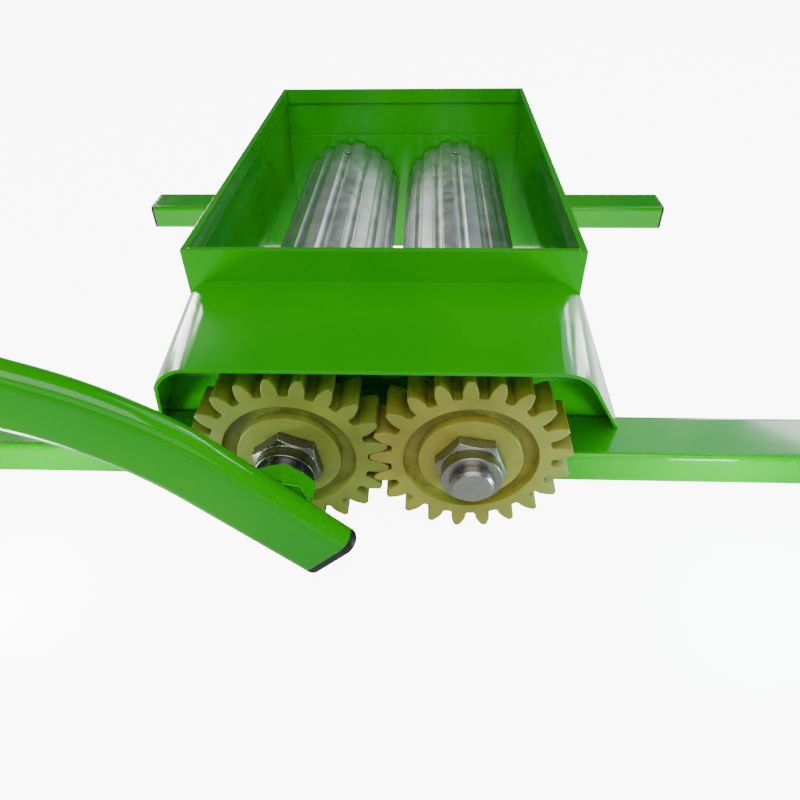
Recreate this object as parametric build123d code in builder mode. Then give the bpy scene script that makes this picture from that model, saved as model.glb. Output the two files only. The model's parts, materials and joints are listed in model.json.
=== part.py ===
from build123d import *
import os
from math import acos, atan2, cos, hypot, pi, radians, sin, tan

# Hand-cranked roller crusher for grapes and soft fruit, built as a bench assembly.
#
# Two ribbed rollers turn towards each other inside a narrow sheet-steel hopper box. The box hangs between
# two rectangular tubes that lie across the rim of a vat. Outside the crank-side wall, a pair of equal nylon
# gears ties the rollers together under a bent sheet guard, and a crank on the drive shaft turns them.
#
# All sizes are in millimetres. The origin is the middle of the crank-side rail's underside, where it rests
# on the vat. X runs along the rails, Y runs from the crank side to the far side, and Z is up.

os.makedirs("parts", exist_ok=True)

# ---------------------------------------------------------------- driving dimensions

# Rails: flat-laid rectangular tubes
rail_length = 560.0
rail_width = 40.0
rail_height = 25.0
rail_wall = 2.0
rail_corner = 4.0
rail_pitch = 380.0            # from the middle of one rail to the middle of the other
cap_flange = 2.5
cap_depth = 14.0
cap_clearance = 0.1

# Hopper box
sheet = 2.0                   # thickness of the box and guard sheet
side_room = 14.0              # between a roller and the side wall beside it
rim_above_guard = 20.0
skirt_z = -20.0               # lower edge of the walls
hem_height = 12.0             # folded rim

# Shafts
thread_radius = 12.0          # M24 outer radius
shaft_shoulder = 2.0          # how much larger the shaft is behind the gear, on radius
shaft_chamfer = 1.5
shaft_far_reach = 10.0        # how far a shaft stands out of the far wall

# Bearing plates and bushes
bearing_plate = 5.0
bearing_plate_rise = 53.0     # above the shaft axes
bush_wall = 2.0
bush_flange_width = 6.0
bush_flange = 3.0
bush_over_rail = 4.0          # from the top of a rail up to the bush's flange
bush_inboard = 3.0            # how far a bush stands out of its plate, towards the roller
bush_clearance = 0.05         # running clearance on radius

# Rollers
roller_gap = 9.0              # between the two rollers
roller_flutes = 16
flute_radius = 5.0
flute_depth = 3.0
roller_end_gap = 1.0
pin_radius = 3.0
pin_inset = 25.0              # from a roller's end to its cross pin
pin_recess = 2.0              # from the bottom of a flute down to the end of a pin

# Gears
gear_teeth = 21
gear_module = 5.0
gear_face = 25.0              # face width
gear_behind = 7.0             # gap between the gears and the crank-side rail
tooth_addendum = 5.5
tooth_dedendum = 6.5
pressure_angle = 20.0
backlash = 0.4
root_fillet = 1.9
mesh_angle = 1.3              # the driven gear's meshing tooth sits this far above the line of centres
gear_rim = 7.0                # solid rim under the teeth, outside the ring-shaped relief in both faces
groove_width = 9.0
groove_depth = 7.0

# Keys
key_width = 8.0
key_height = 7.0
key_length = 20.0
key_seat = 4.0                # depth of the seat in the shaft
key_top_gap = 0.3

# M24 lock nuts, 36 mm across flats, each with a round collar at its front
nut_hex_height = 8.0
nut_collar_height = 7.5
nut_chamfer_angle = 30.0      # of the hexagon's corners, from its face
nut_shoulder = 0.7            # from the collar out to the hexagon's flats
nut_collar_wall = 5.3
nut_collar_round = 0.8
nut_turns = (-21.0, -9.0)     # of the drive and driven nuts, from corners level
shaft_past_nut = 6.0          # how far the driven shaft stands out of its nut

# Crank
nut_to_boss = 7.5             # gap between the drive shaft's nut and the crank's hexagon boss
boss_length = 13.0
boss_turn = 19.0              # of the boss's hexagon, from corners level
arm_thickness = 16.0
arm_width = 40.0
arm_wall = 2.0
arm_tail = 36.0               # past the shaft, away from the handle
arm_straight = 43.0           # from the shaft to where the bend starts
arm_bend_radius = 192.0       # of the middle of the arm
arm_angle = 46.0              # of the inner run, above the horizontal
arm_bend = 26.0               # how much flatter the outer run lies
arm_after_bend = 66.0         # from the end of the bend to the handle
arm_tip_margin = 16.0         # past the handle
arm_cap_flange = 6.5
arm_cap_round = 4.0
arm_cap_depth = 10.0
cap_to_bolt = 3.0             # gap between the tip cap's plug and the handle bolt

# Crank handle
bolt_radius = 6.0
bolt_head_flats = 18.0
bolt_head_height = 7.5
bolt_chamfer = 1.0
handle_washer_radius = 12.0
handle_washer = 2.0
grip_length = 105.0
grip_end_radius = 12.5
grip_belly_radius = 15.5
grip_clearance = 0.06         # running clearance on radius
grip_end_gap = 0.4
handle_nut_height = 10.0
bolt_past_nut = 3.0

# Gear guard
guard_head_room = 17.0        # from the gears' tips up to the guard's top, at the wall
guard_past_shafts = 47.0      # how far the flat top reaches past each shaft, at the wall
guard_shoulder = 21.0         # outer radius of the shoulders
guard_slant = 22.5            # of the legs, from the vertical
guard_overhang = 12.0         # in front of the gears
guard_taper = 6.0             # how much nearer the middle each side is at the front
guard_drop = 2.0              # how much lower the top is at the front
guard_sweep_height = 3.0      # from the gears' tips up to where the front edges start to sweep back
guard_foot_back = 6.5         # from the middle of the rail back to each foot's front corner

# ---------------------------------------------------------------- places worked out from them

centre_distance = gear_module * gear_teeth
gear_pitch_radius = centre_distance / 2
gear_tip_radius = gear_pitch_radius + tooth_addendum
gear_root_radius = gear_pitch_radius - tooth_dedendum
groove_outer = gear_root_radius - gear_rim
groove_inner = groove_outer - groove_width
roller_radius = (centre_distance - roller_gap) / 2
shaft_radius = thread_radius + shaft_shoulder
bush_radius = shaft_radius + bush_wall
bush_flange_radius = bush_radius + bush_flange_width
nut_collar_radius = thread_radius + nut_collar_wall
nut_flats = 2 * (nut_collar_radius + nut_shoulder)

axis_z = rail_height + bush_over_rail + bush_flange_radius
shaft_x = centre_distance / 2
half_box = shaft_x + roller_radius + side_room + sheet
box_width = 2 * half_box
bearing_plate_top = axis_z + bearing_plate_rise
guard_top_z = axis_z + gear_tip_radius + guard_head_room
guard_flat = centre_distance + 2 * guard_past_shafts
rim_z = guard_top_z + rim_above_guard

wall_y = rail_width / 2                       # outer face of the crank-side wall
far_wall_y = rail_pitch - rail_width / 2      # outer face of the far wall
plate_y = wall_y + sheet                      # outer face of the crank-side bearing plate
far_plate_y = far_wall_y - sheet
bush_end_y = plate_y + bearing_plate + bush_inboard
far_bush_end_y = far_plate_y - bearing_plate - bush_inboard
roller_y = bush_end_y + roller_end_gap
far_roller_y = far_bush_end_y - roller_end_gap

gear_back_y = -rail_width / 2 - gear_behind
gear_front_y = gear_back_y - gear_face
nut_face_y = gear_front_y - nut_hex_height
nut_end_y = nut_face_y - nut_collar_height
boss_y = nut_end_y - nut_to_boss
arm_back_y = boss_y - boss_length
arm_mid_y = arm_back_y - arm_thickness / 2
arm_front_y = arm_back_y - arm_thickness
guard_front_y = gear_front_y - guard_overhang

drive = (-shaft_x, axis_z)                    # the crank turns this shaft
driven = (shaft_x, axis_z)
inner_direction = Vector(-cos(radians(arm_angle)), 0, sin(radians(arm_angle)))
outer_direction = Vector(-cos(radians(arm_angle - arm_bend)), 0, sin(radians(arm_angle - arm_bend)))
pivot = Vector(drive[0], arm_mid_y, axis_z)
bend_start = pivot + inner_direction * arm_straight
bend_chord = 2 * arm_bend_radius * sin(radians(arm_bend) / 2)
chord_angle = radians(arm_angle - arm_bend / 2)
bend_end = bend_start + Vector(-cos(chord_angle), 0, sin(chord_angle)) * bend_chord
handle_point = bend_end + outer_direction * arm_after_bend
arm_tip = handle_point + outer_direction * arm_tip_margin


# ---------------------------------------------------------------- helpers

def facing_crank(y, x=0.0, z=0.0):
    """A plane square to Y that faces the crank side: its own x is X and its own y is Z."""
    return Plane(origin=(x, y, z), x_dir=(1, 0, 0), z_dir=(0, -1, 0))


def finish(part, name):
    """Label a finished piece and write its STEP file."""
    part.label = name
    export_step(part, f"parts/{name}.step")


def involute_turn(radius):
    """How far an involute has turned from its base circle at this radius, in radians."""
    base_radius = gear_pitch_radius * cos(radians(pressure_angle))
    angle = acos(min(1.0, base_radius / radius))
    return tan(angle) - angle


# ---------------------------------------------------------------- rails and their end caps

def rail(y):
    """One rectangular tube lying flat along X, its middle at this Y."""
    with BuildPart() as tube:
        with BuildSketch(Plane.YZ):
            with Locations((y, rail_height / 2)):
                RectangleRounded(rail_width, rail_height, rail_corner)
                RectangleRounded(rail_width - 2 * rail_wall, rail_height - 2 * rail_wall,
                                 rail_corner - rail_wall, mode=Mode.SUBTRACT)
        extrude(amount=rail_length / 2, both=True)
    return tube.part


finish(rail(0.0), "rail_near")
finish(rail(rail_pitch), "rail_far")

with BuildPart() as rail_end_caps:
    for y in (0.0, rail_pitch):
        for side in (-1, 1):
            end = Plane(origin=(side * rail_length / 2, y, rail_height / 2), x_dir=(0, 1, 0), z_dir=(side, 0, 0))
            with BuildSketch(end):
                RectangleRounded(rail_width, rail_height, rail_corner)
            extrude(amount=cap_flange)
            with BuildSketch(end):
                RectangleRounded(rail_width - 2 * rail_wall - 2 * cap_clearance,
                                 rail_height - 2 * rail_wall - 2 * cap_clearance, rail_corner - rail_wall)
            extrude(amount=-cap_depth)
finish(rail_end_caps.part, "rail_end_caps")

# ---------------------------------------------------------------- hopper box

def end_wall(outer_y, inward):
    """A flat end wall with two bush holes and a folded rim. inward is +1 or -1 along Y."""
    with BuildPart() as wall:
        with BuildSketch(facing_crank(outer_y)):
            with Locations((0, (rim_z + skirt_z) / 2)):
                Rectangle(box_width, rim_z - skirt_z)
            with Locations(drive, driven):
                Circle(bush_radius, mode=Mode.SUBTRACT)
        extrude(amount=-inward * sheet)
        with BuildSketch(facing_crank(outer_y + inward * sheet)):
            with Locations((0, rim_z - hem_height / 2)):
                Rectangle(box_width - 4 * sheet, hem_height)
        extrude(amount=-inward * sheet)
    return wall.part


def side_wall(side):
    """A flat side wall between the end walls, with its rim folded inwards."""
    length = far_plate_y - plate_y
    with BuildPart() as wall:
        with BuildSketch(Plane.XZ.offset(-plate_y)):
            with Locations((side * (half_box - sheet / 2), (rim_z + skirt_z) / 2)):
                Rectangle(sheet, rim_z - skirt_z)
            with Locations((side * (half_box - 1.5 * sheet), rim_z - hem_height / 2)):
                Rectangle(sheet, hem_height)
        extrude(amount=-length)
    return wall.part


finish(end_wall(wall_y, 1), "end_wall_near")
finish(end_wall(far_wall_y, -1), "end_wall_far")
finish(side_wall(-1), "side_wall_left")
finish(side_wall(1), "side_wall_right")

# ---------------------------------------------------------------- bearing plates and bushes

def stiffener(outer_y, inward):
    """The thick plate welded inside an end wall to carry the bushes."""
    with BuildPart() as plate:
        with BuildSketch(facing_crank(outer_y)):
            with Locations((0, bearing_plate_top / 2)):
                Rectangle(box_width - 2 * sheet, bearing_plate_top)
            with Locations(drive, driven):
                Circle(bush_radius, mode=Mode.SUBTRACT)
        extrude(amount=-inward * bearing_plate)
    return plate.part


def bush(x, outer_y, inward):
    """A flanged plain bush. Its flange lies on the outside of the end wall."""
    barrel = sheet + bearing_plate + bush_inboard
    with BuildPart() as body:
        with BuildSketch(facing_crank(outer_y, x, axis_z)):
            Circle(bush_flange_radius)
        extrude(amount=inward * bush_flange)
        with BuildSketch(facing_crank(outer_y, x, axis_z)):
            Circle(bush_radius)
        extrude(amount=-inward * barrel)
        with BuildSketch(facing_crank(outer_y + inward * barrel, x, axis_z)):
            Circle(shaft_radius + bush_clearance)
        extrude(amount=inward * (barrel + bush_flange), mode=Mode.SUBTRACT)
    return body.part


finish(stiffener(plate_y, 1), "bearing_plate_near")
finish(stiffener(far_plate_y, -1), "bearing_plate_far")
for end_name, outer_y, inward in (("near", wall_y, 1), ("far", far_wall_y, -1)):
    for side_name, x in (("drive", -shaft_x), ("driven", shaft_x)):
        finish(bush(x, outer_y, inward), f"{side_name}_bush_{end_name}")

# ---------------------------------------------------------------- shafts, rollers and their pins

def shaft(x, front_y):
    """A stepped shaft: full size through the bushes, M24 size through the gear and the nut."""
    far_end = far_wall_y + shaft_far_reach
    with BuildPart() as bar:
        with BuildSketch(facing_crank(far_end, x, axis_z)):
            Circle(shaft_radius)
        extrude(amount=far_end - gear_back_y)
        with BuildSketch(facing_crank(gear_back_y, x, axis_z)):
            Circle(thread_radius)
        extrude(amount=gear_back_y - front_y)
        ends = bar.faces().filter_by(Axis.Y).sort_by(Axis.Y)
        chamfer(ends[0].edges() + ends[-1].edges(), shaft_chamfer)
        key_middle = gear_back_y - gear_face / 2
        with BuildSketch(Plane.XY.offset(axis_z + thread_radius)):
            with Locations((x, key_middle)):
                Rectangle(key_width, key_length)
        extrude(amount=-key_seat, mode=Mode.SUBTRACT)
        with BuildSketch(Plane.XY.offset(axis_z)):
            with Locations((x, roller_y + pin_inset), (x, far_roller_y - pin_inset)):
                Circle(pin_radius)
        extrude(amount=shaft_radius * 2, both=True, mode=Mode.SUBTRACT)
    return bar.part


def roller(x):
    """A roller with straight flutes and two cross-pin holes."""
    with BuildPart() as body:
        with BuildSketch(facing_crank(far_roller_y, x, axis_z)):
            Circle(roller_radius)
            with PolarLocations(roller_radius - flute_depth + flute_radius, roller_flutes):
                Circle(flute_radius, mode=Mode.SUBTRACT)
            Circle(shaft_radius, mode=Mode.SUBTRACT)
        extrude(amount=far_roller_y - roller_y)
        with BuildSketch(Plane.XY.offset(axis_z)):
            with Locations((x, roller_y + pin_inset), (x, far_roller_y - pin_inset)):
                Circle(pin_radius)
        extrude(amount=roller_radius * 2, both=True, mode=Mode.SUBTRACT)
    return body.part


def roller_pins(x):
    """Two pins through roller and shaft, ending below the roller's surface."""
    half_length = roller_radius - flute_depth - pin_recess
    with BuildPart() as pins:
        with BuildSketch(Plane.XY.offset(axis_z)):
            with Locations((x, roller_y + pin_inset), (x, far_roller_y - pin_inset)):
                Circle(pin_radius)
        extrude(amount=half_length, both=True)
    return pins.part


finish(shaft(-shaft_x, arm_back_y + sheet), "drive_shaft")
finish(shaft(shaft_x, nut_end_y - shaft_past_nut), "driven_shaft")
for side_name, x in (("drive", -shaft_x), ("driven", shaft_x)):
    finish(roller(x), f"{side_name}_roller")
    finish(roller_pins(x), f"{side_name}_roller_pins")

# ---------------------------------------------------------------- gears and keys

def gear_tooth():
    """One tooth pointing along the sketch's own x, with involute flanks above the base circle."""
    base_radius = gear_pitch_radius * cos(radians(pressure_angle))
    half_at_pitch = pi / (2 * gear_teeth) - backlash / (4 * gear_pitch_radius)
    steps = 6
    flank = []
    for step in range(steps + 1):
        radius = base_radius + (gear_tip_radius - base_radius) * (step / steps) ** 1.5
        half = half_at_pitch + involute_turn(gear_pitch_radius) - involute_turn(radius)
        flank.append((radius * cos(half), radius * sin(half)))
    base_half = atan2(flank[0][1], flank[0][0])
    buried = gear_root_radius - 1.0
    foot = (buried * cos(base_half), buried * sin(base_half))
    mirrored = [(px, -py) for px, py in flank]
    with BuildSketch() as tooth:
        with BuildLine():
            Line(foot, flank[0])
            Spline(*flank)
            ThreePointArc(flank[-1], (gear_tip_radius, 0), mirrored[-1])
            Spline(*mirrored[::-1])
            Line(mirrored[0], (foot[0], -foot[1]))
            Line((foot[0], -foot[1]), foot)
        make_face()
    return tooth.sketch


def gear(x, first_tooth):
    """A spur gear. first_tooth is the angle of one tooth, counted from X towards Z."""
    tooth = gear_tooth()
    keyway_top = thread_radius - key_seat + key_height + key_top_gap
    with BuildPart() as wheel:
        with BuildSketch(facing_crank(gear_back_y, x, axis_z)) as outline:
            Circle(gear_root_radius)
            with PolarLocations(0, gear_teeth, start_angle=first_tooth):
                add(tooth)
            corners = outline.vertices().filter_by(
                lambda corner: abs(hypot(corner.X, corner.Y) - gear_root_radius) < 0.01)
            fillet(corners, root_fillet)
            Circle(thread_radius, mode=Mode.SUBTRACT)
            with Locations((0, keyway_top / 2)):
                Rectangle(key_width, keyway_top, mode=Mode.SUBTRACT)
        extrude(amount=gear_face)
        for face_y, depth in ((gear_front_y, -groove_depth), (gear_back_y, groove_depth)):
            with BuildSketch(facing_crank(face_y, x, axis_z)):
                Circle(groove_outer)
                Circle(groove_inner, mode=Mode.SUBTRACT)
            extrude(amount=depth, mode=Mode.SUBTRACT)
    return wheel.part


def gear_key(x):
    """A parallel key, half in the shaft and half in the gear."""
    seat_z = axis_z + thread_radius - key_seat
    with BuildPart() as key:
        with BuildSketch(Plane.XY.offset(seat_z)):
            with Locations((x, gear_back_y - gear_face / 2)):
                Rectangle(key_width, key_length)
        extrude(amount=key_height)
    return key.part


half_tooth_pitch = 180.0 / gear_teeth
finish(gear(-shaft_x, mesh_angle + half_tooth_pitch), "drive_gear")
finish(gear(shaft_x, 180.0 - mesh_angle), "driven_gear")
finish(gear_key(-shaft_x), "drive_gear_key")
finish(gear_key(shaft_x), "driven_gear_key")

# ---------------------------------------------------------------- lock nuts

def corner_cut(x, end_y, inward):
    """The ring that chamfers a hexagon's corners at end_y. inward is the side of Y that the metal is on."""
    corner_radius = nut_flats / 2 / cos(pi / 6)
    outside = corner_radius + 1.0
    depth = (outside - nut_collar_radius) * tan(radians(nut_chamfer_angle))
    with BuildPart() as ring:
        with BuildSketch(Plane(origin=(x, 0, axis_z), x_dir=(1, 0, 0), z_dir=(0, 0, 1))):
            with BuildLine():
                Polyline((nut_collar_radius, end_y), (outside, end_y), (outside, end_y + inward * depth),
                         close=True)
            make_face()
        revolve(axis=Axis((x, 0, axis_z), (0, 1, 0)))
    return ring.part


def lock_nut(x, turn):
    """A hexagon nut with a round collar at its front."""
    with BuildPart() as nut:
        with BuildSketch(facing_crank(gear_front_y, x, axis_z)):
            RegularPolygon(nut_flats / 2, 6, major_radius=False, rotation=turn)
        extrude(amount=nut_hex_height)
        add(corner_cut(x, nut_face_y, 1), mode=Mode.SUBTRACT)
        with BuildSketch(facing_crank(nut_face_y, x, axis_z)):
            Circle(nut_collar_radius)
        extrude(amount=nut_collar_height)
        fillet(nut.faces().sort_by(Axis.Y)[0].edges(), nut_collar_round)
        with BuildSketch(facing_crank(gear_front_y, x, axis_z)):
            Circle(thread_radius)
        extrude(amount=nut_hex_height + nut_collar_height, mode=Mode.SUBTRACT)
    return nut.part


finish(lock_nut(-shaft_x, nut_turns[0]), "drive_nut")
finish(lock_nut(shaft_x, nut_turns[1]), "driven_nut")

# ---------------------------------------------------------------- crank

with BuildPart() as crank_boss:
    with BuildSketch(facing_crank(boss_y, drive[0], axis_z)):
        RegularPolygon(nut_flats / 2, 6, major_radius=False, rotation=boss_turn)
        Circle(thread_radius, mode=Mode.SUBTRACT)
    extrude(amount=boss_length)
    add(corner_cut(drive[0], boss_y, -1), mode=Mode.SUBTRACT)
finish(crank_boss.part, "crank_boss")


def arm_plane(distance, direction, start):
    """A plane across the arm: its own x lies across the arm's wide side, its own y points to -Y."""
    across = direction.cross(Vector(0, -1, 0))
    return Plane(origin=start + direction * distance, x_dir=-across, z_dir=direction)


def arm_solid(inset):
    """The arm's flat oval section, drawn in by inset all round, swept along the arm and its bend."""
    heading = (inner_direction.X, inner_direction.Z)
    tail = pivot - inner_direction * arm_tail
    with BuildPart() as solid:
        with BuildLine(facing_crank(arm_mid_y)) as route:
            Line((tail.X, tail.Z), (bend_start.X, bend_start.Z))
            JernArc((bend_start.X, bend_start.Z), heading, arm_bend_radius, arm_bend)
            Line((bend_end.X, bend_end.Z), (arm_tip.X, arm_tip.Z))
        with BuildSketch(arm_plane(-arm_tail, inner_direction, pivot)):
            SlotOverall(arm_width - 2 * inset, arm_thickness - 2 * inset)
        sweep(path=route.wire())
    return solid.part


with BuildPart() as crank_arm:
    add(arm_solid(0.0))
    add(arm_solid(arm_wall), mode=Mode.SUBTRACT)
    with BuildSketch(facing_crank(arm_back_y, handle_point.X, handle_point.Z)):
        Circle(bolt_radius)
    extrude(amount=arm_thickness, mode=Mode.SUBTRACT)
finish(crank_arm.part, "crank_arm")


def arm_cap(plane, plug_depth):
    """A plastic plug for an end of the arm. The plane lies on the tube's end and faces outwards."""
    play = 2 * arm_wall + 2 * cap_clearance
    with BuildPart() as cap:
        with BuildSketch(plane):
            SlotOverall(arm_width, arm_thickness)
        extrude(amount=arm_cap_flange)
        outer_rim = cap.faces().sort_by(Axis(plane.origin, plane.z_dir))[-1].edges()
        fillet(outer_rim, arm_cap_round)
        with BuildSketch(plane):
            SlotOverall(arm_width - play, arm_thickness - play)
        extrude(amount=-plug_depth)
    return cap.part


tip_plug_depth = arm_tip_margin - bolt_radius - cap_to_bolt
finish(arm_cap(arm_plane(arm_tail, -inner_direction, pivot), arm_cap_depth), "crank_tail_cap")
finish(arm_cap(arm_plane(0.0, outer_direction, arm_tip), tip_plug_depth), "crank_tip_cap")

# ---------------------------------------------------------------- crank handle

grip_start_y = arm_front_y - handle_washer - grip_end_gap
grip_end_y = grip_start_y - grip_length
head_washer_y = grip_end_y - grip_end_gap
head_y = head_washer_y - handle_washer
nut_washer_y = arm_back_y + handle_washer
handle_nut_end_y = nut_washer_y + handle_nut_height
hx, hz = handle_point.X, handle_point.Z

with BuildPart() as handle_bolt:
    with BuildSketch(facing_crank(handle_nut_end_y + bolt_past_nut, hx, hz)):
        Circle(bolt_radius)
    extrude(amount=handle_nut_end_y + bolt_past_nut - head_y)
    chamfer(handle_bolt.faces().sort_by(Axis.Y)[-1].edges(), bolt_chamfer)
    with BuildSketch(facing_crank(head_y, hx, hz)):
        RegularPolygon(bolt_head_flats / 2, 6, major_radius=False)
    extrude(amount=bolt_head_height)
finish(handle_bolt.part, "handle_bolt")

with BuildPart() as handle_nut:
    with BuildSketch(facing_crank(handle_nut_end_y, hx, hz)):
        RegularPolygon(bolt_head_flats / 2, 6, major_radius=False)
        Circle(bolt_radius, mode=Mode.SUBTRACT)
    extrude(amount=handle_nut_height)
finish(handle_nut.part, "handle_nut")

with BuildPart() as handle_washers:
    for start_y in (nut_washer_y, arm_front_y, head_washer_y):
        with BuildSketch(facing_crank(start_y, hx, hz)):
            Circle(handle_washer_radius)
            Circle(bolt_radius, mode=Mode.SUBTRACT)
        extrude(amount=handle_washer)
finish(handle_washers.part, "handle_washers")

with BuildPart() as handle_grip:
    bore = bolt_radius + grip_clearance
    middle_y = (grip_start_y + grip_end_y) / 2
    with BuildSketch(Plane(origin=(hx, 0, hz), x_dir=(1, 0, 0), z_dir=(0, 0, 1))):
        with BuildLine():
            Line((bore, grip_start_y), (grip_end_radius, grip_start_y))
            ThreePointArc((grip_end_radius, grip_start_y), (grip_belly_radius, middle_y),
                          (grip_end_radius, grip_end_y))
            Line((grip_end_radius, grip_end_y), (bore, grip_end_y))
            Line((bore, grip_end_y), (bore, grip_start_y))
        make_face()
    revolve(axis=Axis((hx, 0, hz), (0, 1, 0)))
finish(handle_grip.part, "handle_grip")

# ---------------------------------------------------------------- gear guard

def guard_corners(inset, narrower, lower, foot_z):
    """Corners of the guard's arch from foot to foot, drawn in by inset, made narrower and lower."""
    slant = radians(guard_slant)
    top_z = guard_top_z - lower - inset
    corner_x = guard_flat / 2 + guard_shoulder * tan((pi / 2 - slant) / 2) - narrower
    shoulder_x = corner_x + inset * tan(slant) - inset / cos(slant)
    foot_x = shoulder_x + (top_z - foot_z) * tan(slant)
    return [(-foot_x, foot_z), (-shoulder_x, top_z), (shoulder_x, top_z), (foot_x, foot_z)]


def guard_block(inset, foot_z):
    """The guard's shape as a solid block, from the wall to the front, drawn in by inset."""
    with BuildPart() as block:
        for y, narrower, lower in ((wall_y, 0.0, 0.0), (guard_front_y, guard_taper, guard_drop)):
            with BuildSketch(facing_crank(y)) as face:
                with BuildLine():
                    Polyline(*guard_corners(inset, narrower, lower, foot_z), close=True)
                make_face()
                fillet(face.vertices().group_by(Axis.Y)[-1], guard_shoulder - inset)
        loft(ruled=True)
    return block.part


sweep_z = axis_z + gear_tip_radius + guard_sweep_height
below_foot = rail_height - 1.0
with BuildPart() as gear_guard:
    add(guard_block(0.0, rail_height))
    add(guard_block(sheet, below_foot), mode=Mode.SUBTRACT)
    with BuildSketch(Plane.YZ):
        with BuildLine():
            Polyline((guard_front_y, sweep_z), (guard_front_y - 1.0, sweep_z), (guard_front_y - 1.0, below_foot),
                     (guard_foot_back, below_foot), (guard_foot_back, rail_height), close=True)
        make_face()
    extrude(amount=rail_length, both=True, mode=Mode.SUBTRACT)
finish(gear_guard.part, "gear_guard")


def guard_backing(side):
    """The plate that closes the back of the guard beside the hopper box, down behind the rail."""
    corners = guard_corners(0.0, 0.0, 0.0, rail_height)
    foot_width = corners[-1][0] - corners[0][0]
    cut_height = guard_top_z + 2 * sheet
    with BuildPart() as backing:
        with BuildSketch(facing_crank(wall_y)) as face:
            with BuildLine():
                Polyline(*corners, close=True)
            make_face()
            fillet(face.vertices().group_by(Axis.Y)[-1], guard_shoulder)
            with Locations((0, rail_height / 2)):
                Rectangle(foot_width, rail_height)
            with Locations((0, guard_top_z / 2)):
                Rectangle(box_width, cut_height, mode=Mode.SUBTRACT)
            with Locations((-side * rail_length / 2, guard_top_z / 2)):
                Rectangle(rail_length, cut_height, mode=Mode.SUBTRACT)
        extrude(amount=-sheet)
    return backing.part


finish(guard_backing(-1), "guard_backing_left")
finish(guard_backing(1), "guard_backing_right")
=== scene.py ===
import json
from math import cos, radians, sin

import bmesh
import bpy
from mathutils import Matrix, Vector


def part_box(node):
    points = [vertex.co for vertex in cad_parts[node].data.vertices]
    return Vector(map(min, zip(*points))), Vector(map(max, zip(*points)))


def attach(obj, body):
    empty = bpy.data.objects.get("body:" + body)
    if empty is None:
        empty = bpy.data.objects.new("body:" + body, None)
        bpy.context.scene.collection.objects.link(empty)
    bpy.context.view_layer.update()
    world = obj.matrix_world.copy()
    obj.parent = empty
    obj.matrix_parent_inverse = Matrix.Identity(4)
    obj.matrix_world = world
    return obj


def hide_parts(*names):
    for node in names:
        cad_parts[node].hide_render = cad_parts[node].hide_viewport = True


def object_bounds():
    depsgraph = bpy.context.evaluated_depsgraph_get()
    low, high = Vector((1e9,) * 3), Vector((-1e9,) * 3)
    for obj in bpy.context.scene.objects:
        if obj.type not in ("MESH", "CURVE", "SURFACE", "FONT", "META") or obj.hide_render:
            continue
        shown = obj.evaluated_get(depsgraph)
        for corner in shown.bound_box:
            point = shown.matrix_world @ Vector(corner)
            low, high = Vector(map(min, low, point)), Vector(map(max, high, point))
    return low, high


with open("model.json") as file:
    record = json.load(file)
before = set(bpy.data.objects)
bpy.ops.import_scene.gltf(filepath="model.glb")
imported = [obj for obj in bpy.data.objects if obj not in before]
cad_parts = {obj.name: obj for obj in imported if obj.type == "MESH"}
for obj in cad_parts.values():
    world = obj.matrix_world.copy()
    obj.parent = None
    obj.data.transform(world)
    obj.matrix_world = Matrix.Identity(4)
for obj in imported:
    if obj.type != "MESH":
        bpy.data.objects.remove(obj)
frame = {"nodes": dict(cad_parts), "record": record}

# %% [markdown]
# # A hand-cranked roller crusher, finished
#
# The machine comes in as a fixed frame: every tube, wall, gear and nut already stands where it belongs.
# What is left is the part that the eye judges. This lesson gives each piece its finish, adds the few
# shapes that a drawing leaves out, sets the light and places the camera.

cad_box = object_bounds()
mm = 0.001
print("pieces in the frame:", len(frame["nodes"]))
print("frame box, metres:", [[round(v, 4) for v in corner] for corner in cad_box])

# %% [markdown]
# ## Measuring from the frame
#
# Nothing here is measured twice. The axes of the two shafts and of the grip are the joints' axes. A finish
# that runs in rings about a shaft needs that shaft's axis, and the new grip is spun about its own.

# %% The three axes
joints = {joint["name"]: joint for joint in frame["record"]["behaviour"]["joints"]}
drive_axis = Vector(joints["drive_spin"]["pos_m"])
driven_axis = Vector(joints["driven_spin"]["pos_m"])
grip_axis = Vector(joints["grip_spin"]["pos_m"])
print("between the shafts:", round((driven_axis - drive_axis).length, 4))
print("handle out from the drive shaft:", round((grip_axis - drive_axis).length, 4))

# %% [markdown]
# ## A small kit for finishes
#
# Every finish is a network of nodes, and most share the same few moves: a noise at some size, a mask that
# is white along edges, and a bump. Written once as short functions, they keep each finish to a few lines.
# All of them read Object coordinates, in metres, so a noise scale of 400 gives marks about 2.5 mm across.

# %% Nodes, links and coordinates
def start_finish(name, colour, roughness, metallic=0.0):
    """A material with one Principled shader. Returns the material and its shader."""
    material = bpy.data.materials.new(name)
    material.use_nodes = True
    shader = material.node_tree.nodes["Principled BSDF"]
    shader.inputs["Base Color"].default_value = (*colour, 1.0)
    shader.inputs["Roughness"].default_value = roughness
    shader.inputs["Metallic"].default_value = metallic
    return material, shader


def add_node(material, kind, **settings):
    """A node with its settings. Keys with a capital are sockets, the others are the node's own."""
    node = material.node_tree.nodes.new(kind)
    for key, value in settings.items():
        if key[0].isupper():
            node.inputs[key].default_value = value
        else:
            setattr(node, key, value)
    return node


def join(material, source, target):
    """One link from an output to an input."""
    material.node_tree.links.new(source, target)


def placed(material, centre=(0, 0, 0), stretch=(1, 1, 1)):
    """Object coordinates measured from centre and stretched along the axes."""
    where = add_node(material, "ShaderNodeTexCoord")
    move = add_node(material, "ShaderNodeVectorMath", operation="SUBTRACT")
    move.inputs[1].default_value = centre
    grow = add_node(material, "ShaderNodeVectorMath", operation="MULTIPLY")
    grow.inputs[1].default_value = stretch
    join(material, where.outputs["Object"], move.inputs[0])
    join(material, move.outputs[0], grow.inputs[0])
    return grow.outputs[0]


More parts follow.
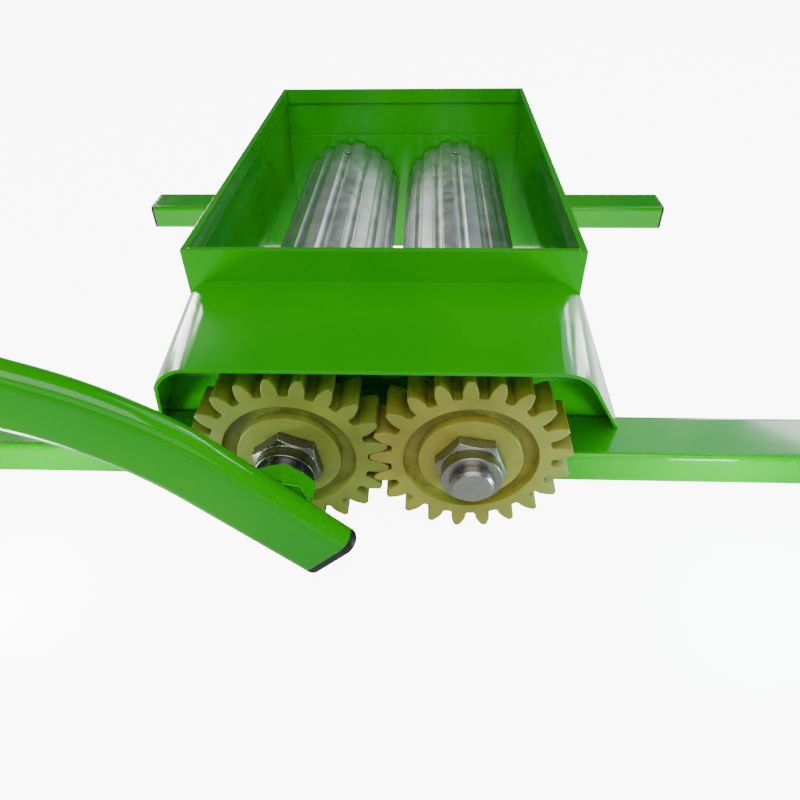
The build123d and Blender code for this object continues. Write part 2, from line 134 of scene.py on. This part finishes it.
# %% Noise, ranges and mixes
def noise(material, scale, detail=3.0, centre=(0, 0, 0), stretch=(1, 1, 1)):
    """A noise of this scale, as a value around one half."""
    cloud = add_node(material, "ShaderNodeTexNoise", Scale=scale, Detail=detail)
    join(material, placed(material, centre, stretch), cloud.inputs["Vector"])
    return cloud.outputs["Fac"]


def fit(material, value, low, high, new_low=0.0, new_high=1.0):
    """A value taken from one range to another and held inside it."""
    node = add_node(material, "ShaderNodeMapRange", clamp=True)
    for index, limit in enumerate((low, high, new_low, new_high), start=1):
        node.inputs[index].default_value = limit
    join(material, value, node.inputs[0])
    return node.outputs[0]


def combine(material, operation, first, second):
    """Two values added, multiplied or otherwise combined. The second may be a plain number."""
    node = add_node(material, "ShaderNodeMath", operation=operation)
    join(material, first, node.inputs[0])
    if isinstance(second, (int, float)):
        node.inputs[1].default_value = second
    else:
        join(material, second, node.inputs[1])
    return node.outputs[0]


def mix_colour(material, factor, first, second):
    """A colour between first and second. Each is a colour or another node's output."""
    node = add_node(material, "ShaderNodeMix", data_type="RGBA")
    join(material, factor, node.inputs["Factor"])
    for socket, colour in ((node.inputs[6], first), (node.inputs[7], second)):
        if isinstance(colour, tuple):
            socket.default_value = (*colour, 1.0)
        else:
            join(material, colour, socket)
    return node.outputs[2]


# %% [markdown]
# ### Edges
#
# Sheet and bar never end in a knife edge, and paint, plating and dirt all behave differently there. The
# Bevel node gives the normal that a rounded edge would have. Used as the shader's normal it rounds the
# edge in the light, and where it differs from the flat normal it marks the edge for wear, and on the
# enamel also for a painted highlight. It needs no extra faces, which suits shapes that must stay exactly
# as drawn.

# %% Rounded edges and an edge mask
def soft_normal(material, radius):
    """The normal of edges rounded to this radius."""
    return add_node(material, "ShaderNodeBevel", samples=6, Radius=radius).outputs["Normal"]


def edge_mask(material, radius):
    """White along convex and concave edges, black on flats."""
    spread = 0.12
    flat = add_node(material, "ShaderNodeNewGeometry")
    compare = add_node(material, "ShaderNodeVectorMath", operation="DOT_PRODUCT")
    join(material, soft_normal(material, radius), compare.inputs[0])
    join(material, flat.outputs["Normal"], compare.inputs[1])
    return fit(material, compare.outputs["Value"], 1.0 - spread, 1.0, 1.0, 0.0)


def bump(material, height, depth, normal):
    """A bump of this depth in metres, on top of another normal."""
    node = add_node(material, "ShaderNodeBump", Strength=1.0, Distance=depth)
    join(material, height, node.inputs["Height"])
    join(material, normal, node.inputs["Normal"])
    return node.outputs["Normal"]


# An ambient-occlusion mask: where it darkens a colour, that darkening is partly painted shade.
def crevice(material, reach):
    """White in corners and grooves, black in the open."""
    shade = add_node(material, "ShaderNodeAmbientOcclusion", samples=8, Distance=reach)
    return fit(material, shade.outputs["AO"], 0.25, 0.95, 1.0, 0.0)


def around(material, axis):
    """Distance from an axis that runs along Y, in metres."""
    flat = add_node(material, "ShaderNodeVectorMath", operation="LENGTH")
    join(material, placed(material, axis, (1, 0, 1)), flat.inputs[0])
    return flat.outputs["Value"]


# %% [markdown]
# ## Green enamel
#
# All sheet and tube is sprayed in one gloss green. Sprayed enamel is not a mirror: it dries with a fine
# orange peel, and handling leaves duller patches. Its edges are painted paler, partly for the thinner paint
# there and partly as a painted highlight. A few chips along the edges show the grey primer. The clear gloss
# is the shader's coat, over a body colour that is itself smooth, because one rough layer alone would look
# like plastic.

# %% The enamel
def green_enamel():
    """Gloss green enamel with orange peel, paler edges that are partly thin paint and partly a painted
    highlight, and small chips.
    """
    material, shader = start_finish("green_enamel", (0.01, 0.40, 0.0), 0.24)
    shader.inputs["Coat Weight"].default_value = 0.35
    shader.inputs["Coat Roughness"].default_value = 0.06
    shader.inputs["Specular IOR Level"].default_value = 0.2
    deep, light = (0.006, 0.380, 0.0), (0.018, 0.440, 0.0)
    thin_green_and_highlight, primer = (0.060, 0.460, 0.010), (0.20, 0.21, 0.19)
    drift = fit(material, noise(material, 9.0, 2.0), 0.35, 0.65)
    body = mix_colour(material, drift, deep, light)
    # Paler green along the edges: partly thinner paint, partly a painted highlight.
    edges = edge_mask(material, 0.9 * mm)
    thin = combine(material, "MULTIPLY", edges, 0.5)
    body = mix_colour(material, thin, body, thin_green_and_highlight)
    scatter = fit(material, noise(material, 260.0, 4.0), 0.655, 0.665)
    chips = combine(material, "MULTIPLY", scatter, fit(material, edges, 0.25, 0.45))
    body = mix_colour(material, chips, body, primer)
    join(material, body, shader.inputs["Base Color"])
    handling = fit(material, noise(material, 22.0, 5.0), 0.40, 0.70, 0.12, 0.26)
    join(material, combine(material, "ADD", handling, chips), shader.inputs["Roughness"])
    peel = noise(material, 330.0, 2.0)
    surface = bump(material, peel, 0.035 * mm, soft_normal(material, 0.6 * mm))
    join(material, surface, shader.inputs["Normal"])
    return material


enamel = green_enamel()
print("enamel nodes:", len(enamel.node_tree.nodes))

# %% [markdown]
# ## Cast nylon
# The gears are turned and hobbed from cast nylon. It is ivory when new and yellows with age, it lets a
# little light in, and its cut faces keep the fine rings of the lathe. The grooves and the roots of the teeth
# are darkened by an occlusion mask, which is partly juice and dust and partly painted shade. The rings are a
# wave about the gear's own axis, so each gear gets its own copy of the finish, and the drive gear's copy is
# given a darker, greener colour as painted shade.

# %% The nylon
def gear_nylon(name, axis, fresh, aged):
    """Cast nylon with turning rings about an axis, and its grooves darkened, partly as dirt and partly as
    painted shade.
    """
    material, shader = start_finish(name, fresh, 0.42)
    shader.inputs["Subsurface Weight"].default_value = 0.12
    shader.inputs["Subsurface Radius"].default_value = (0.9, 0.8, 0.35)
    shader.inputs["Subsurface Scale"].default_value = 2.0 * mm
    groove_dirt_and_shade, dark_speck = (0.085, 0.080, 0.020), (0.16, 0.14, 0.05)
    rings_per_metre = 9000.0
    tone = fit(material, noise(material, 38.0, 4.0, axis), 0.35, 0.68)
    body = mix_colour(material, tone, fresh, aged)
    worn = combine(material, "MULTIPLY", edge_mask(material, 1.1 * mm), 0.45)
    body = mix_colour(material, worn, body, tuple(min(1.0, 1.35 * part) for part in fresh))
    # Grooves and tooth roots darken through an occlusion mask: partly dirt, partly painted shade.
    patchy = fit(material, noise(material, 120.0, 5.0, axis), 0.30, 0.62)
    dirt_and_shade = combine(material, "MULTIPLY", crevice(material, 9.0 * mm), patchy)
    body = mix_colour(material, combine(material, "MULTIPLY", dirt_and_shade, 0.75), body, groove_dirt_and_shade)
    specks = fit(material, noise(material, 900.0, 2.0, axis), 0.70, 0.74, 0.0, 0.35)
    body = mix_colour(material, specks, body, dark_speck)
    join(material, body, shader.inputs["Base Color"])
    dull = fit(material, noise(material, 65.0, 4.0, axis), 0.3, 0.7, 0.36, 0.52)
    join(material, combine(material, "ADD", dull, combine(material, "MULTIPLY", dirt_and_shade, 0.2)),
         shader.inputs["Roughness"])
    turns = add_node(material, "ShaderNodeMath", operation="SINE")
    join(material, combine(material, "MULTIPLY", around(material, axis), rings_per_metre), turns.inputs[0])
    surface = bump(material, turns.outputs[0], 0.010 * mm, soft_normal(material, 1.3 * mm))
    surface = bump(material, noise(material, 500.0, 3.0, axis), 0.020 * mm, surface)
    join(material, surface, shader.inputs["Normal"])
    return material


# The drive gear's colours are a darker, greener copy of the driven gear's nylon: painted shade.
shaded_drive_nylon = gear_nylon("drive_gear_nylon_shaded", drive_axis, (0.29, 0.33, 0.045), (0.21, 0.25, 0.030))
driven_nylon = gear_nylon("driven_gear_nylon", driven_axis, (0.42, 0.37, 0.052), (0.31, 0.28, 0.036))
print("nylon finishes:", shaded_drive_nylon.name, driven_nylon.name)

# %% [markdown]
# ## Steel
#
# The nuts are plated, with a warm cast, and the bar is plain turned steel. Both are metals, so their
# colour lies in the reflection. The drive nut's plating is given a darker colour than the driven nut's, as
# painted shade. A nut is drawn across by its spanner and keeps fine scratches, and bar end faces keep rings
# from the parting tool. The two share one recipe with different amounts.

# %% Plated and turned steel
def worked_steel(name, colour, axis, ring_depth, scratch_depth, roughness):
    """Steel with rings about an axis, fine scratches, brighter edges, a little staining, and corners darkened
    partly as grime and partly as painted shade.
    """
    material, shader = start_finish(name, colour, roughness, 1.0)
    rubbed_bright, corner_grime_and_shade = (0.78, 0.76, 0.72), (0.07, 0.05, 0.035)
    rings_per_metre = 14000.0
    stain = fit(material, noise(material, 150.0, 5.0, axis), 0.42, 0.80, 0.0, 0.35)
    body = mix_colour(material, stain, colour, tuple(0.55 * part for part in colour))
    rubbed = combine(material, "MULTIPLY", edge_mask(material, 0.5 * mm), 0.7)
    body = mix_colour(material, rubbed, body, rubbed_bright)
    # Corners darken through an occlusion mask: partly grime, partly painted shade.
    corners = combine(material, "MULTIPLY", crevice(material, 3.0 * mm), 0.5)
    body = mix_colour(material, corners, body, corner_grime_and_shade)
    join(material, body, shader.inputs["Base Color"])
    hazy = fit(material, noise(material, 420.0, 4.0, axis), 0.3, 0.7, roughness - 0.08, roughness + 0.12)
    join(material, combine(material, "ADD", hazy, combine(material, "MULTIPLY", stain, 0.15)),
         shader.inputs["Roughness"])
    rings = add_node(material, "ShaderNodeMath", operation="SINE")
    join(material, combine(material, "MULTIPLY", around(material, axis), rings_per_metre), rings.inputs[0])
    surface = bump(material, rings.outputs[0], ring_depth, soft_normal(material, 0.45 * mm))
    drawn = noise(material, 900.0, 2.0, axis, (1.0, 0.08, 1.0))
    surface = bump(material, drawn, scratch_depth, surface)
    join(material, surface, shader.inputs["Normal"])
    return material


# The drive nut gets a darker colour than the driven nut's plating: painted shade on the same plated steel.
shaded_plated = (0.20, 0.19, 0.19)
plated = (0.36, 0.34, 0.31)
bright = (0.42, 0.40, 0.37)
drive_plated = worked_steel("drive_nut_steel", shaded_plated, drive_axis, 0.002 * mm, 0.004 * mm, 0.26)
driven_plated = worked_steel("driven_nut_steel", plated, driven_axis, 0.002 * mm, 0.004 * mm, 0.32)
handle_plated = worked_steel("handle_fastener_steel", bright, grip_axis, 0.002 * mm, 0.012 * mm, 0.26)
drive_turned = worked_steel("drive_shaft_steel", bright, drive_axis, 0.006 * mm, 0.010 * mm, 0.30)
driven_turned = worked_steel("driven_shaft_steel", bright, driven_axis, 0.006 * mm, 0.010 * mm, 0.30)
print("steel finishes:", [m.name for m in (drive_plated, driven_plated, drive_turned, driven_turned)])

# %% [markdown]
# ## Cast aluminium and bronze
#
# The rollers are sand cast and left as they come, so they are grainy, with metal rubbed bright on the
# crests where fruit and stalks pass. The bushes are sintered bronze, which is full of tiny open pores
# that hold oil. One recipe covers both: a metal with grain in its height and pores in its colour.

# %% Grainy metals
def grainy_metal(name, colour, dark, grain_scale, grain_depth, roughness, crest_radius):
    """A cast or sintered metal: grain, pores, rubbed edges, and hollows darkened partly as grime and partly
    as painted shade.
    """
    material, shader = start_finish(name, colour, roughness, 1.0)
    cloud = fit(material, noise(material, 30.0, 4.0), 0.35, 0.7)
    body = mix_colour(material, cloud, colour, tuple(0.8 * part for part in colour))
    pores = fit(material, noise(material, grain_scale * 2.5, 3.0), 0.60, 0.70)
    body = mix_colour(material, combine(material, "MULTIPLY", pores, 0.6), body, dark)
    # Hollows darken through an occlusion mask: partly grime, partly painted shade.
    grime_and_shade = combine(material, "MULTIPLY", crevice(material, 7.0 * mm), 0.45)
    body = mix_colour(material, grime_and_shade, body, dark)
    crests = combine(material, "MULTIPLY", edge_mask(material, crest_radius), 0.6)
    body = mix_colour(material, crests, body, tuple(min(1.0, 1.25 * part) for part in colour))
    join(material, body, shader.inputs["Base Color"])
    rough = fit(material, noise(material, 90.0, 4.0), 0.3, 0.7, roughness - 0.07, roughness + 0.1)
    join(material, combine(material, "SUBTRACT", rough, combine(material, "MULTIPLY", crests, 0.12)),
         shader.inputs["Roughness"])
    surface = bump(material, noise(material, grain_scale, 4.0), grain_depth,
                   soft_normal(material, crest_radius))
    join(material, surface, shader.inputs["Normal"])
    return material


cast_aluminium = grainy_metal("cast_aluminium", (0.66, 0.67, 0.66), (0.16, 0.15, 0.13), 420.0,
                              0.10 * mm, 0.42, 1.2 * mm)
sintered_bronze = grainy_metal("sintered_bronze", (0.62, 0.42, 0.19), (0.12, 0.07, 0.03), 800.0,
                               0.03 * mm, 0.36, 0.5 * mm)
print("grainy metals:", cast_aluminium.name, sintered_bronze.name)

# %% [markdown]
# ## Black plastic
#
# The plugs in the tube ends and the crank's grip are moulded black plastic. Black is never fully black:
# the mould's fine texture catches light, edges go grey with rubbing, and dust settles as a pale haze.

# %% The plastic
def moulded_black():
    """Textured black plastic with rubbed edges and a trace of dust."""
    material, shader = start_finish("moulded_black", (0.012, 0.013, 0.014), 0.4)
    dusty = fit(material, noise(material, 45.0, 5.0), 0.45, 0.75, 0.0, 0.35)
    clean, dust, worn_grey = (0.010, 0.011, 0.012), (0.045, 0.045, 0.042), (0.075, 0.075, 0.075)
    body = mix_colour(material, dusty, clean, dust)
    rubbed = combine(material, "MULTIPLY", edge_mask(material, 0.7 * mm), 0.35)
    body = mix_colour(material, rubbed, body, worn_grey)
    join(material, body, shader.inputs["Base Color"])
    join(material, fit(material, noise(material, 60.0, 3.0), 0.3, 0.7, 0.34, 0.5), shader.inputs["Roughness"])
    surface = bump(material, noise(material, 1400.0, 2.0), 0.030 * mm, soft_normal(material, 0.7 * mm))
    join(material, surface, shader.inputs["Normal"])
    return material


black = moulded_black()
print("plastic nodes:", len(black.node_tree.nodes))

# %% [markdown]
# ## Giving the finishes out
#
# The record names a slot for every piece. Most slots are one finish wherever they are used, and a few
# depend on the shaft that the piece turns about, so those are chosen by the piece's name.

# %% One finish for each piece
by_slot = {"green_paint": enamel, "black_plastic": black, "roller_alloy": cast_aluminium,
           "bronze": sintered_bronze}
by_shaft = {
    "gear_nylon": {"drive": shaded_drive_nylon, "driven": driven_nylon},
    "bright_steel": {"drive": drive_plated, "driven": driven_plated, "handle": handle_plated},
    "turned_steel": {"drive": drive_turned, "driven": driven_turned},
}
for part in frame["record"]["subparts"]:
    name, slot_name = part["node"], part["material_slot"]
    shaft = name.split("_")[0]
    finish = by_slot[slot_name] if slot_name in by_slot else by_shaft[slot_name][shaft]
    piece = frame["nodes"][name]
    piece.data.materials.clear()
    piece.data.materials.append(finish)

# %% [markdown]
# ## Helpers for new shapes
#
# A new piece is a mesh in its final place, with its object at the origin, so that patterns stay put.
# Round pieces are a half profile spun about the Y direction. After a full spin the seam is merged, and
# the normals are worked out afresh.

# %% Turning a profile, and making the object
def turned(axis, profile, steps=64):
    """A closed mesh made by spinning (radius, y) points about an axis that runs along Y."""
    shape = bmesh.new()
    corners = [shape.verts.new((axis.x + radius, y, axis.z)) for radius, y in profile]
    outline = [shape.edges.new(pair) for pair in zip(corners, corners[1:] + corners[:1])]
    bmesh.ops.spin(shape, geom=corners + outline, cent=(axis.x, 0, axis.z), axis=(0, 1, 0),
                   angle=radians(360), steps=steps, use_merge=True)
    bmesh.ops.remove_doubles(shape, verts=shape.verts, dist=1e-6)
    bmesh.ops.recalc_face_normals(shape, faces=shape.faces)
    return shape


def finish_piece(name, shape, finish, body, smooth_angle=35):
    """Turns a bmesh into a named piece that rides on a body."""
    mesh = bpy.data.meshes.new(name)
    shape.to_mesh(mesh)
    shape.free()
    piece = bpy.data.objects.new(name, mesh)
    bpy.context.scene.collection.objects.link(piece)
    mesh.materials.append(finish)
    mesh.shade_smooth()
    mesh.set_sharp_from_angle(angle=radians(smooth_angle))
    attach(piece, body)
    print(name, "faces", len(mesh.polygons))
    return piece


# %% [markdown]
# ## The crank's grip
#
# The frame holds the grip as a plain barrel. A real one is moulded with rounded ends and a row of shallow
# grooves so that a wet hand doesn't slip. It is round, so a spun profile is the natural way. The barrel's
# radius follows an arc between the ends, and each groove is a dip in that arc. The new grip stands in for
# the plain one and never goes outside it.

# %% The grip
def grip_profile(low, high, bore):
    """Half of the grip's section: bore, rounded end, grooved barrel, rounded end."""
    belly = (high.x - low.x) / 2
    end_radius = belly - 3.0 * mm
    round_off = 2.2 * mm
    round_steps = 5
    grooves = 15
    groove_depth = 0.9 * mm
    groove_narrowness = 6
    groove_start, groove_stop = 0.16, 0.84
    length = high.y - low.y
    points = [(bore, low.y), (end_radius - round_off, low.y)]
    for step in range(1, round_steps + 1):
        turn = radians(90 * step / round_steps)
        points.append((end_radius - round_off * (1 - sin(turn)), low.y + round_off * (1 - cos(turn))))
    count = 120
    for step in range(1, count):
        along = step / count
        y = low.y + round_off + along * (length - 2 * round_off)
        arc = end_radius + (belly - end_radius) * sin(radians(180) * along)
        inside = groove_start < along < groove_stop
        wave = max(0.0, cos(radians(360) * along * grooves))
        dip = wave ** groove_narrowness if inside else 0.0
        points.append((arc - groove_depth * dip, y))
    for step in range(round_steps + 1):
        turn = radians(90 * step / round_steps)
        points.append((end_radius - round_off * (1 - cos(turn)), high.y - round_off * (1 - sin(turn))))
    points.append((bore, high.y))
    return points


low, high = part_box("handle_grip")
bolt_radius = 6.0 * mm
running_clearance = 0.06 * mm
bore = bolt_radius + running_clearance
grip = finish_piece("moulded_grip", turned(grip_axis, grip_profile(low, high, bore), 72), black, "grip")
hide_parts("handle_grip")

# %% [markdown]
# ## The weld bead
#
# The crank's hexagon boss is welded to the arm. A hand-laid bead is a row of small overlapping ripples, so
# this one is a thin ring around the boss whose radius swells and shrinks a little with every ripple. It
# is painted with everything else.

# %% A bead along a closed loop
def bead_along(points, radius, ripples):
    """A rippled bead that follows a closed loop of points, as a bmesh."""
    shape = bmesh.new()
    sides = 10
    ripple_height = 0.16
    rings = []
    count = len(points)
    for index, point in enumerate(points):
        ahead = (points[(index + 1) % count] - points[index - 1]).normalized()
        across = ahead.cross(Vector((0, 1, 0))).normalized()
        swell = radius * (1 + ripple_height * abs(sin(radians(180) * ripples * index / count)))
        ring = bmesh.ops.create_circle(shape, segments=sides, radius=swell)["verts"]
        turn = Matrix((across, Vector((0, 1, 0)), ahead)).transposed().to_4x4()
        bmesh.ops.transform(shape, matrix=Matrix.Translation(point) @ turn, verts=ring)
        rings.append(ring)
    edges = list(shape.edges)
    for first, second in zip(rings, rings[1:] + rings[:1]):
        pair = [e for e in edges if e.verts[0] in first or e.verts[0] in second]
        bmesh.ops.bridge_loops(shape, edges=pair)
    bmesh.ops.recalc_face_normals(shape, faces=shape.faces)
    return shape


# %% The bead around the crank's boss
boss_flat_reach = 17.9 * mm
boss_flat_turn = 49
arm_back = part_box("crank_arm")[1].y
loop = []
steps = 120
for step in range(steps):
    turn = radians(360 * step / steps)
    from_flat = (turn - radians(boss_flat_turn)) % radians(60) - radians(30)
    reach = boss_flat_reach / cos(from_flat)
    loop.append(Vector((drive_axis.x + reach * cos(turn), arm_back, drive_axis.z + reach * sin(turn))))
bead_radius = 0.7 * mm
ripples = 60
finish_piece("boss_weld", bead_along(loop, bead_radius, ripples), enamel, "drive", 60)

# %% [markdown]
# ## Floor and light
#
# The machine is shown on a plain white table, as in a catalogue. Gloss paint shows what stands around it,
# so the light matters as much as the colour. A table that shone white into every face would wash the
# green out, so it is white where it is looked at, and for the paint it is white only behind the machine.
# There it gives the guard's shoulders and legs their pale streaks, while the faces towards the crank side
# look out over a calmer table and stay a deep green.

# %% The table
def pale_floor():
    """A wide floor just under the machine, white to look at and calmer in reflections from the front."""
    material, shader = start_finish("white_table", (0.62, 0.62, 0.62), 0.9)
    shader.inputs["Specular IOR Level"].default_value = 0.0
    shader.inputs["Emission Color"].default_value = (1.0, 1.0, 1.0, 1.0)
    where = add_node(material, "ShaderNodeTexCoord")
    apart = add_node(material, "ShaderNodeSeparateXYZ")
    join(material, where.outputs["Object"], apart.inputs[0])
    front_glow, back_glow, seen_glow = 0.05, 1.6, 9.0
    behind = fit(material, apart.outputs["Y"], -0.05, 0.12, front_glow, back_glow)
    seen = add_node(material, "ShaderNodeLightPath")
    choose = add_node(material, "ShaderNodeMix", data_type="FLOAT")
    join(material, seen.outputs["Is Camera Ray"], choose.inputs["Factor"])
    join(material, behind, choose.inputs[2])
    choose.inputs[3].default_value = seen_glow
    join(material, choose.outputs[0], shader.inputs["Emission Strength"])
    shape = bmesh.new()
    bmesh.ops.create_grid(shape, x_segments=1, y_segments=1, size=4.0)
    bmesh.ops.translate(shape, verts=shape.verts, vec=(0.0, 0.2, cad_box[0][2] - 0.5 * mm))
    mesh = bpy.data.meshes.new("floor")
    shape.to_mesh(mesh)
    shape.free()
    mesh.materials.append(material)
    floor = bpy.data.objects.new("floor", mesh)
    bpy.context.scene.collection.objects.link(floor)
    return floor


floor = pale_floor()
print("floor at", round(cad_box[0][2], 4))

# %% [markdown]
# ### Lights
#
# A broad soft light overhead does most of the work, with a weaker one in front. Two small green-blue
# panels stand low beside the guard and light the inside of its legs. A cool panel stands behind on the
# right, high enough to be mirrored in the flat top of the rail. Narrow upright panels at both sides and
# behind put separate streaks on the guard's rounded shoulders, as a room with windows does. They are
# left out of the matt light, so that they show in the gloss and don't wash out the green.

# %% The lights
def panel(name, place, aim, width, height, power, colour=(1.0, 1.0, 1.0)):
    """A soft rectangular light at a place, turned towards a point."""
    light = bpy.data.lights.new(name, "AREA")
    light.shape = "RECTANGLE"
    light.size, light.size_y = width, height
    light.energy = power
    light.color = colour
    lamp = bpy.data.objects.new(name, light)
    bpy.context.scene.collection.objects.link(lamp)
    lamp.location = place
    lamp.rotation_mode = "QUATERNION"
    lamp.rotation_quaternion = (Vector(aim) - Vector(place)).to_track_quat("-Z", "Y")
    return lamp


heart = Vector((0.0, 0.0, 0.06))


def round_about(azimuth, elevation, distance):
    """A place around the machine: azimuth from straight behind towards the right, in degrees."""
    turn, rise = radians(azimuth), radians(elevation)
    return heart + distance * Vector((sin(turn) * cos(rise), cos(turn) * cos(rise), sin(rise)))


panel("overhead", (0.0, -0.75, 1.4), heart, 1.5, 0.9, 18.0)
panel("front_fill", round_about(176, 20, 1.4), heart, 1.4, 0.6, 3.2)
panel("low_right", (0.25, -0.13, 0.02), (0.13, 0.02, 0.05), 0.05, 0.05, 0.35, (0.40, 1.0, 0.95))
panel("low_left", (-0.24, -0.13, 0.02), (-0.13, 0.02, 0.05), 0.05, 0.05, 0.35, (0.75, 1.0, 0.80))
panel("cool_back_right", round_about(44, 40, 1.6), heart, 0.9, 1.0, 7.0, (0.66, 0.92, 1.0))

# %% The streaks on the shoulders
streak_height = 0.9
for side, power_per_width in ((-1, 74.0), (1, 46.0)):
    for azimuth, width in ((34, 0.10), (45, 0.16), (56, 0.06), (68, 0.20)):
        place = round_about(side * azimuth, 15, 1.5)
        streak = panel(f"streak_{side}_{azimuth}", place, heart, width, streak_height,
                       power_per_width * width)
        streak.visible_diffuse = False

# %% The surroundings
world = bpy.data.worlds.new("studio")
bpy.context.scene.world = world
world.use_nodes = True
backdrop = world.node_tree.nodes["Background"]
backdrop.inputs["Color"].default_value = (1.0, 1.0, 1.0, 1.0)
backdrop.inputs["Strength"].default_value = 0.13

# %% [markdown]
# ## The camera
#
# The view is from the crank side, above and a little to the right, close enough that near parts look
# larger. The camera is built from three turns: yaw to the side, pitch down and a slight roll.

# %% Placing the camera
def place_camera(place, yaw, pitch, roll, lens):
    """A camera at a place, turned by yaw, pitch and roll in degrees."""
    yaw, pitch, roll = radians(yaw), radians(pitch), radians(roll)
    forward = Vector((sin(yaw) * cos(pitch), cos(yaw) * cos(pitch), -sin(pitch)))
    level = Vector((cos(yaw), -sin(yaw), 0))
    up = level.cross(forward)
    across = cos(roll) * level + sin(roll) * up
    upright = -sin(roll) * level + cos(roll) * up
    data = bpy.data.cameras.new("camera")
    data.sensor_width = 36
    data.lens = lens
    camera = bpy.data.objects.new("camera", data)
    bpy.context.scene.collection.objects.link(camera)
    matrix = Matrix((across, upright, -forward)).transposed().to_4x4()
    matrix.translation = Vector(place)
    camera.matrix_world = matrix
    bpy.context.scene.camera = camera
    return camera


camera = place_camera(place=(0.02557, -0.31082, 0.31427), yaw=-2.876, pitch=40.106, roll=-1.095,
                      lens=28.68)
print("camera height:", round(camera.matrix_world.translation.z, 3))
